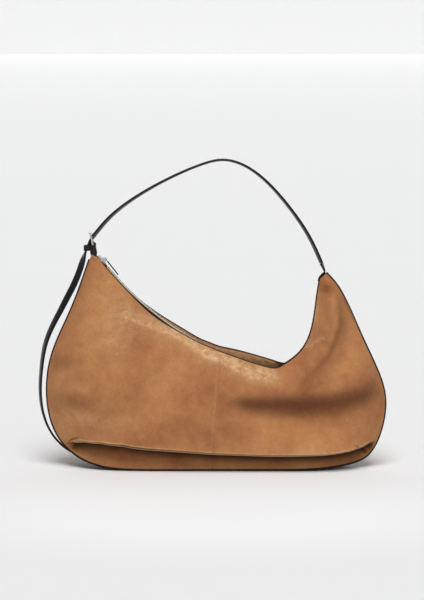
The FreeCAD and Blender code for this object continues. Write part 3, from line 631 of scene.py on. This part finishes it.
def mark_nap(piece, side):
    """Marks painted highlights on lit crests, partly rubbed nap, painted shade in valleys,
    folds and under ledges, and painted deep shade under the front's lip and in the darts."""
    flat = np.zeros(len(piece.data.vertices) * 3)
    piece.data.vertices.foreach_get("co", flat)
    x, _, z = flat.reshape(-1, 3).T / MM
    highlight_and_wear = sum(spot(x, z, *entry) for entry in HIGHLIGHT_SPOTS[side])
    fold_shade = sum(spot(x, z, *entry) for entry in SHADE_SPOTS[side])
    recess_shade = np.zeros(len(x))
    if side == FRONT:
        # Painted highlights: the lit slope above the crease, the crease, the horn's lit edge and
        # the raised centre seam.
        highlight_and_wear += sum(soft_line(x, z, *entry) for entry in HIGHLIGHT_LINES)
        highlight_and_wear += soft_line(x, z, beside(CREASE, 2, 5), 8, 0.7) * smoothstep(-140, -20, x)
        reach = 8 + 11 * smoothstep(0, 110, x) - 4 * smoothstep(180, 240, x)
        ends = smoothstep(2, 50, x) * smoothstep(252, 215, x)
        # Painted shade on the valley's downward-facing flank and along the horn's fold.
        fold_shade += soft_line(x, z, VALLEY, reach, 0.95) * ends
        along = near_line(x, z, HORN_FOLD)[1]
        fade = np.sin(np.pi * np.clip(along, 0, 1)) ** 0.8
        fold_shade += soft_line(x, z, HORN_FOLD, 4.5, 0.4) * fade
        fold_shade += soft_line(x, z, beside(HORN_FOLD, 8, 0), 12, 0.35)
        # Painted deep shade under the lip, and a painted highlight along the lip's crest.
        drop, ends = under_lip(x, z)
        recess_shade += smoothstep(0.8, 1.8, drop) * smoothstep(23, 7, drop) * ends
        highlight_and_wear += 0.6 * np.exp(-(drop / 0.8) ** 2) * ends
        # Painted shade in the darts at the bottom corners.
        recess_shade += sum(soft_line(x, z, dart, 1.3, 0.8) for dart in DARTS)
    mark(piece, "highlight_and_wear", highlight_and_wear)
    mark(piece, "fold_shade", fold_shade)
    mark(piece, "recess_shade", recess_shade)


def panel(name, side, u_span, columns, rows, node):
    """One suede panel: a sculpted sheet, then its thickness."""
    def place(u, t):
        along = u_span[0] + (u_span[1] - u_span[0]) * u
        return seam_dip(body_points(side, along, t), along, side)

    piece = grid_piece(name, columns, rows, place)
    mark_nap(piece, side)
    flip_if_inward(piece, side)
    apply(piece, "SOLIDIFY", thickness=SUEDE_THICK * MM, offset=-1)
    finish_piece(piece, SUEDE, "bag", [node], 60)
    return piece


def flip_if_inward(piece, side):
    """Turns the sheet's faces to the outside of the bag."""
    total = sum(polygon.normal.y * polygon.area for polygon in piece.data.polygons)
    if total * side < 0:
        edit(piece, lambda: bpy.ops.mesh.flip_normals())


def inner_sheet(name, side, spans, size, sheet, material, node):
    """Sheet that follows the inside of the suede: sheet is its depth and thickness."""
    (u0, u1), (t0, t1) = spans

    def place(u, t):
        along = (u0 + (u1 - u0) * u) / LAST_RIB
        down = t0 + (t1 - t0) * t
        point = body_points(side, along, down)
        du = body_points(side, along + 0.004, down) - point
        dt = body_points(side, along, down + 0.004) - point
        normal = np.cross(du, dt)
        normal /= np.linalg.norm(normal, axis=1)[:, None]
        normal *= np.where(normal[:, 1] * side > 0, -1, 1)[:, None]
        return point + normal * sheet[0]

    piece = grid_piece(name, size[0], size[1], place)
    apply(piece, "SOLIDIFY", thickness=sheet[1] * MM, offset=0)
    edit(piece, outwards)
    # Painted light: the whole sheet gets the full highlight mark, which lifts the mouth facing
    # out of its shade; the lining's cloth doesn't read it.
    mark(piece, "highlight_and_wear", np.full(len(piece.data.vertices), 1.0))
    finish_piece(piece, material, "bag", [node], 60)
    return piece


def soft_body():
    fine = 0.00005
    middle = SEAM_RIB / LAST_RIB
    panel("front_suede_left", FRONT, (0, middle - fine), 190, 150, "front_panel_left")
    panel("front_suede_right", FRONT, (middle + fine, 1), 200, 150, "front_panel_right")
    panel("back_suede_left", BACK, (0, middle - fine), 130, 90, "back_panel_left")
    panel("back_suede_right", BACK, (middle + fine, 1), 140, 90, "back_panel_right")
    for side, word in ((FRONT, "front"), (BACK, "back")):
        inner_sheet(word + "_lining_cloth", side, ((1, 17), (0.15, 0.95)), (90, 50),
                    (2.8, 0.5), LINING, "lining_" + word)
        inner_sheet(word + "_mouth_facing", side, ((1, 13), (0.01, 0.13)), (120, 8),
                    (2.3, 0.9), SUEDE, "mouth_facing_" + word)


def base_panel():
    """Flat base between the two bottom seams, soft at its edges."""
    def place(u, t):
        width = BASE_HALF * np.abs(np.sin(np.pi * u)) ** 0.55
        across = 2 * t - 1
        rise = BASE_CURL * np.abs(across) ** 6
        return np.stack([BASE_MIDDLE - BASE_REACH * np.cos(np.pi * u), across * width,
                         0.1 + rise], axis=1)

    piece = grid_piece("base_suede", 120, 24, place)
    edit(piece, merge, outwards)
    apply(piece, "SOLIDIFY", thickness=BASE_THICK * MM, offset=1)
    bottom = min(corner[2] for corner in piece.bound_box)
    for vertex in piece.data.vertices:
        vertex.co.z -= bottom
    finish_piece(piece, SUEDE, "bag", ["base_panel"], 60)


soft_body()
base_panel()


# Painted edges -----------------------------------------------------------------------
def painted_edge(name, start, end, node):
    """Edge of the body, where front and back are sewn and painted over."""
    count = int((end - start) * 16)
    u = np.linspace(start, end, count) / LAST_RIB
    middle = curve_at(EDGE, u)
    out = edge_out(u)
    height = 2.1 + 1.0 * smoothstep(0.5, 0.98, -out[:, 2])
    middle[:, 1] = np.minimum(middle[:, 1] + 2.0, 0)
    middle[:, 2] = np.maximum(middle[:, 2], EDGE_LOW)
    middle += out * (height / 2 + 0.9)[:, None]
    profile = np.array(rounded(4.3, 1.0, 0.45, 3))
    ring = np.vstack([profile, profile[:1]])

    def place(a, b):
        i = np.rint(a * (count - 1)).astype(int)
        j = np.rint(b * (len(ring) - 1)).astype(int)
        point = middle[i] + out[i] * (ring[j, 1] * height[i])[:, None]
        point[:, 1] += ring[j, 0]
        return point

    piece = grid_piece(name, count - 1, len(ring) - 1, place)
    edit(piece, merge, close_ends, outwards)
    finish_piece(piece, PAINT, "bag", [node])


def mouth_rim(name, side, node):
    """Thin painted edge along one side of the mouth."""
    u = np.linspace(0.25, HORN_RIB, 190) / LAST_RIB
    top = body_points(side, u, np.zeros(len(u)))
    top[:, 1] -= side * SUEDE_THICK / 2
    below = body_points(side, u, np.full(len(u), 0.04))
    up = top - below
    up[:, 1] = 0
    up /= np.linalg.norm(up, axis=1)[:, None]
    sideways = np.tile([0.0, 1.0, 0.0], (len(u), 1))
    piece = sweep(name, top + up * 0.55, rounded(2.0, 1.5, 0.6, 3), sideways)
    finish_piece(piece, PAINT, "bag", [node])


def horn_rim():
    """Painted edge of the horn, where the mouth is sewn shut."""
    u = np.linspace(HORN_RIB - 0.1, LAST_RIB, 80) / LAST_RIB
    middle = curve_at(MOUTH, u)
    ahead = np.gradient(middle, axis=0)
    out = np.stack([-ahead[:, 2], np.zeros(len(u)), ahead[:, 0]], axis=1)
    out /= np.linalg.norm(out, axis=1)[:, None]
    middle[:, 1] = 0
    sideways = np.tile([0.0, 1.0, 0.0], (len(u), 1))
    piece = sweep("horn_painted_edge", middle + out * 0.9, rounded(4.2, 1.8, 0.7, 3), sideways)
    finish_piece(piece, PAINT, "bag", ["horn_edge"])


def horn_tip_cap():
    """Thick painted edge over the slanted top of the horn, where the strap is sewn in."""
    route = np.array([(149.2, 0, 277), (150.2, 0, 281.5), (153.2, 0, 285.6), (158.4, 0, 290.2)])
    middle = spline(np.arange(4), route, np.linspace(0, 3, 30))
    sideways = np.tile([0.0, 1.0, 0.0], (30, 1))
    piece = sweep("horn_tip_edge", middle, rounded(4.8, 3.4, 1.2, 4), sideways)
    finish_piece(piece, PAINT, "bag")


painted_edge("body_painted_edge_left", 0.2, SEAM_RIB, "edge_piping_left")
painted_edge("body_painted_edge_right", SEAM_RIB, LAST_RIB, "edge_piping_right")
mouth_rim("mouth_painted_edge_front", FRONT, "mouth_edge_front")
mouth_rim("mouth_painted_edge_back", BACK, "mouth_edge_back")
horn_rim()
horn_tip_cap()

# Main zip ----------------------------------------------------------------------------
ZIP_CENTRE = np.array([191.2, 0.0, 585.2])
ZIP_RADIUS = 453.4
ZIP_ENDS = (-170.5, 84.0)


def zip_turn(x):
    return math.asin((x - ZIP_CENTRE[0]) / ZIP_RADIUS)


def zip_tape(name, side, node):
    """Woven tape between the teeth and the suede facing."""
    start, end = zip_turn(ZIP_ENDS[0] + 10), zip_turn(ZIP_ENDS[1])

    def place(u, t):
        turn = start + (end - start) * u
        radius = ZIP_RADIUS + 0.7 * t ** 2
        y = side * (1.6 + 6.4 * t)
        return np.stack([ZIP_CENTRE[0] + radius * np.sin(turn), y,
                         ZIP_CENTRE[2] - radius * np.cos(turn)], axis=1)

    piece = grid_piece(name, 120, 8, place)
    apply(piece, "SOLIDIFY", thickness=0.6 * MM, offset=0)
    finish_piece(piece, TAPE, "bag", [node])


def zip_teeth(name, side, node):
    """Metal teeth: one is modelled, then copied along the arc."""
    pitch = 2.6 / ZIP_RADIUS
    start, end = zip_turn(ZIP_ENDS[0]), zip_turn(ZIP_ENDS[1])
    deselect()
    bpy.ops.mesh.primitive_cube_add(size=1, scale=(1.5 * MM, 2.3 * MM, 1.9 * MM))
    row = bpy.context.object
    row.name = row.data.name = name
    bpy.ops.object.transform_apply(location=True, scale=True)
    apply(row, "BEVEL", width=0.3 * MM, segments=1)
    tooth = row.data.copy()
    row.data.clear_geometry()
    gathered = bmesh.new()
    count = int((end - start) / pitch)
    for i in range(count):
        turn = start + (i + (0.5 if side == BACK else 0)) * pitch
        before = len(gathered.verts)
        gathered.from_mesh(tooth)
        gathered.verts.ensure_lookup_table()
        centre = Vector((ZIP_CENTRE[0] + ZIP_RADIUS * math.sin(turn), side * 1.75,
                         ZIP_CENTRE[2] - ZIP_RADIUS * math.cos(turn))) * MM
        move = Matrix.Translation(centre) @ Matrix.Rotation(-turn, 4, "Y")
        for vertex in gathered.verts[before:]:
            vertex.co = move @ vertex.co
    gathered.to_mesh(row.data)
    gathered.free()
    finish_piece(row, NICKEL, "bag", [node])


for side, word in ((FRONT, "front"), (BACK, "back")):
    zip_tape("zip_woven_tape_" + word, side, "zip_tape_" + word)
    zip_teeth("zip_metal_teeth_" + word, side, "zip_teeth_" + word)


# Strap -------------------------------------------------------------------------------
ARCH = [(-183, 340), (-176.8, 347.5), (-161, 366), (-124, 396.5), (-73, 426), (-22, 448),
        (8, 454.5), (36, 448), (68, 426.5), (95.5, 397.5), (118.5, 367.5), (136.8, 338),
        (152.3, 304.5)]
RIGHT_END = [(152.5, 304), (154.3, 300), (156.2, 295.5), (157.6, 291.6)]
LEFT_END = [(-183.3, 339.6), (-186.5, 333), (-189.2, 327), (-191.6, 321.2)]
TAIL_TOP = [(-191.8, 0, 320.8), (-193.6, 0, 315.6), (-195.3, 0.2, 310.4), (-197, 0.4, 305.2)]
TAIL = [(-197.1, 0.4, 304.8), (-206.7, 1, 278.5), (-218.4, 2, 255), (-231, 3, 231),
        (-243, 4, 208), (-252, 5, 185), (-258.5, 6, 150), (-261, 8, 114), (-257, 11, 78),
        (-243, 15, 45), (-218, 21, 20.5), (-186, 28, 7.6)]


def strap_profile():
    """Two layers of leather glued together: rounded edges with a fine line between."""
    half_w, half_t = STRAP_WIDTH / 2, STRAP_THICK / 2
    edge = [(half_w - 0.7, -half_t), (half_w - 0.2, -half_t + 0.35), (half_w, -0.45),
            (half_w - 0.3, 0.0), (half_w, 0.45), (half_w - 0.2, half_t - 0.35),
            (half_w - 0.7, half_t)]
    top = [(x, half_t + 0.15 * (1 - (x / half_w) ** 2)) for x in (2.5, 0.0, -2.5)]
    far = [(-x, -z) for x, z in edge]
    low = [(-x, -z) for x, z in top]
    return edge + top + far + low


def strap_run(name, points, samples, leans, body, nodes, blend_with=None):
    """A run of strap.  leans turn its broad side from level towards the front."""
    points = [(p[0], 0.0, p[1]) if len(p) == 2 else p for p in points]
    points = np.array(points, float)
    steps = np.linalg.norm(np.diff(points, axis=0), axis=1)
    reach = np.concatenate([[0], np.cumsum(steps)])
    at = np.linspace(0, reach[-1], samples)
    line = spline(reach, points, at)
    ahead = np.gradient(line, axis=0)
    flat = np.cross([0.0, 1.0, 0.0], ahead)
    flat /= np.linalg.norm(flat, axis=1)[:, None]
    lean = np.radians(spline(np.linspace(0, reach[-1], len(leans)), leans, at))
    across = np.array([0.0, 1.0, 0.0]) * np.cos(lean)[:, None] + flat * np.sin(lean)[:, None]
    piece = sweep(name, line, strap_profile(), across)
    finish_piece(piece, LEATHER, None if blend_with else body, nodes)
    if blend_with:
        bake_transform(piece)
    return piece


strap_run("shoulder_strap", ARCH, 260, (20, 14, 9, 8, 10, 14, 16), "strap", ["strap_arch"])
strap_run("strap_sewn_end", RIGHT_END[::-1], 24, (0, 16), "strap", ["strap_end_right"], "bag")
strap_run("strap_run_under_buckle", LEFT_END[::-1], 24, (0, 10), "strap", ["strap_end_left"],
          "bag")
strap_run("strap_loose_end_top", TAIL_TOP, 24, (0, 38), "tail", ["strap_tail_top"], "bag")
strap_run("strap_loose_end", TAIL, 240, (38, 42, 38, 30, 24, 18, 15, 12, 9, 6, 4), "tail",
          ["strap_tail"])


# Buckle ------------------------------------------------------------------------------
HEEL_BAR = np.array([-181.0, 0, 330.5])
TOP_BAR = np.array([-184.0, 0, 347.0])


def buckle():
    """Cast frame with round corners."""
    lean = TOP_BAR - HEEL_BAR
    height = np.linalg.norm(lean)
    lean = lean / height
    middle = (TOP_BAR + HEEL_BAR) / 2
    outline = rounded(16.0, height, 3.2, 8)
    loop = np.array([middle + np.array([0.0, a, 0.0]) + lean * b for a, b in outline])
    face = np.cross(np.array([0.0, 1.0, 0.0]), lean)
    piece = sweep("buckle_cast_frame", loop, rounded(2.4, 2.1, 0.8, 3),
                  np.tile(face, (len(loop), 1)), closed=True)
    finish_piece(piece, NICKEL, "strap", ["buckle_frame"])


def buckle_tab():
    """Thick leather folded round the heel bar and sewn into the bag's tip."""
    outline = []
    for i in range(17):
        turn = math.radians(-25 + 230 * i / 16)
        outline.append((4.3 * math.cos(turn), 4.3 * math.sin(turn)))
    outline += [(-4.5, -6.5), (-3.9, -13.0), (-2.2, -17.0), (5.0, -17.0), (5.6, -11.0)]
    middle = [HEEL_BAR + np.array([0.0, y, 0.0]) for y in (6.0, 0.0, -6.0)]
    piece = sweep("buckle_leather_tab", middle, outline, np.tile([1.0, 0.0, 0.0], (3, 1)))
    apply(piece, "BEVEL", width=0.9 * MM, segments=3, limit_method="ANGLE")
    finish_piece(piece, LEATHER, None, ["buckle_tab"])
    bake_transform(piece)


def keeper():
    """Leather loop that holds the strap's loose end."""
    outline = rounded(8.6, 14.6, 1.6, 5)
    loop = np.array([(-189.5 + a, b, 326.0) for a, b in outline])
    piece = sweep("strap_keeper_loop", loop, rounded(7.6, 1.5, 0.5, 3),
                  np.tile([0.0, 0.0, 1.0], (len(loop), 1)), closed=True)
    finish_piece(piece, LEATHER, "bag", ["keeper_loop"])


def pull_leather():
    """Narrow strip folded round the ring's far bar, cut round at its end."""
    bar = np.array([-160.41, 0.0, 306.65])
    along = np.array([0.613, 0.0, -0.790])
    reach = np.array([0.0, 2.0, 5.0, 12.0, 20.0, 23.0, 24.6, 25.2])
    line = spline(np.arange(8), np.outer(reach + 0.4, along) + bar, np.linspace(0, 7, 40))
    piece = sweep("zip_leather_pull", line, rounded(3.4, 1.7, 0.5, 3),
                  np.tile([0.0, 1.0, 0.0], (40, 1)))
    apply(piece, "BEVEL", width=0.4 * MM, segments=2, limit_method="ANGLE")
    finish_piece(piece, LEATHER, "pull_leather", ["zip_pull_leather"])


buckle()
buckle_tab()
keeper()
pull_leather()

# CAD pieces that stay, with their finish ----------------------------------------------
FINISH = {"suede": SUEDE, "edge_paint": PAINT, "lining": LINING, "board": BOARD,
          "zip_tape": TAPE, "zip_metal": NICKEL, "strap_leather": LEATHER,
          "buckle_metal": NICKEL}
for entry in frame["record"]["subparts"]:
    cad_node = frame["nodes"][entry["node"]]
    cad_node.data.materials.clear()
    cad_node.data.materials.append(FINISH[entry["material_slot"]])


# Stage, light and camera --------------------------------------------------------------
def stage():
    """Wide pale floor with a painted pool of light, and a far backdrop in the same tone."""
    material, tree, shader = new_material("matt_white_paper")
    place = add(tree, "TexCoord").outputs["Object"]
    cloud = add(tree, "TexNoise", _0=place, Scale=3.0).outputs[0]
    tone = ramp(tree, cloud, [(0.0, "#f0f0f0"), (1.0, "#f1f1f1")])
    # Painted light: a slightly lighter pool painted on the floor in front of the bag lifts its
    # shadow.
    shifted = add(tree, "VectorMath", {"operation": "ADD"}, _0=place, _1=(0.0, 0.30, 0.0))
    scaled = add(tree, "VectorMath", {"operation": "MULTIPLY"}, _0=shifted.outputs[0],
                 _1=(1.9, 3.0, 0.0))
    away = add(tree, "VectorMath", {"operation": "LENGTH"}, _0=scaled.outputs[0])
    painted_light_pool = add(tree, "MapRange", {"interpolation_type": "SMOOTHSTEP"},
               _0=away.outputs["Value"], _1=0.25, _2=1.0, _3=1.0, _4=0.0).outputs[0]
    lit = add(tree, "Mix", {"data_type": "RGBA"}, _0=painted_light_pool, _6=tone, _7=linear("#fafafa"))
    set_shader(tree, shader, Base_Color=lit.outputs[2], Roughness=1.0,
               Specular_IOR_Level=0.0)
    for name, middle, turn in (("floor", (0, 0, -0.0004), 0),
                               ("backdrop", (0, 60, 0), math.pi / 2)):
        deselect()
        bpy.ops.mesh.primitive_plane_add(size=200, location=middle, rotation=(turn, 0, 0))
        bpy.context.object.name = name
        bpy.context.object.data.materials.append(material)


def sun(name, azimuth, height, strength, spread):
    """Far soft light from an azimuth (0 from the front, positive from +X) and a height."""
    data = bpy.data.lights.new(name, "SUN")
    data.energy = strength
    data.angle = math.radians(spread)
    light = bpy.data.objects.new(name, data)
    bpy.context.scene.collection.objects.link(light)
    turn, rise = math.radians(azimuth), math.radians(height)
    source = Vector((math.sin(turn) * math.cos(rise), -math.cos(turn) * math.cos(rise),
                     math.sin(rise)))
    light.rotation_euler = source.to_track_quat("Z", "Y").to_euler()


def lights():
    world = bpy.data.worlds.new("studio")
    bpy.context.scene.world = world
    world.use_nodes = True
    world.node_tree.nodes["Background"].inputs["Color"].default_value = linear("#f5f7fb")
    world.node_tree.nodes["Background"].inputs["Strength"].default_value = 0.15
    sun("overhead_softbox", 0, 60, 2.43, 36)
    sun("front_fill", 20, 25, 0.28, 60)


def camera():
    """Long lens, a little above the bag, level with the middle of bag and strap."""
    distance = 3.2
    frame_height = 0.8796
    elevation = math.radians(7.0)
    aim = Vector((-0.0073, 0.0, 0.2473 / math.cos(elevation)))
    data = bpy.data.cameras.new("camera")
    data.sensor_width = 36.0
    data.lens = data.sensor_width * distance / frame_height
    data.clip_start, data.clip_end = 0.1, 300
    view = bpy.data.objects.new("camera", data)
    bpy.context.scene.collection.objects.link(view)
    back = Vector((0, -math.cos(elevation), math.sin(elevation)))
    view.location = aim + back * distance
    view.rotation_euler = (-back).to_track_quat("-Z", "Y").to_euler()
    bpy.context.scene.camera = view


stage()
lights()
camera()
bpy.context.scene.view_settings.view_transform = "Standard"
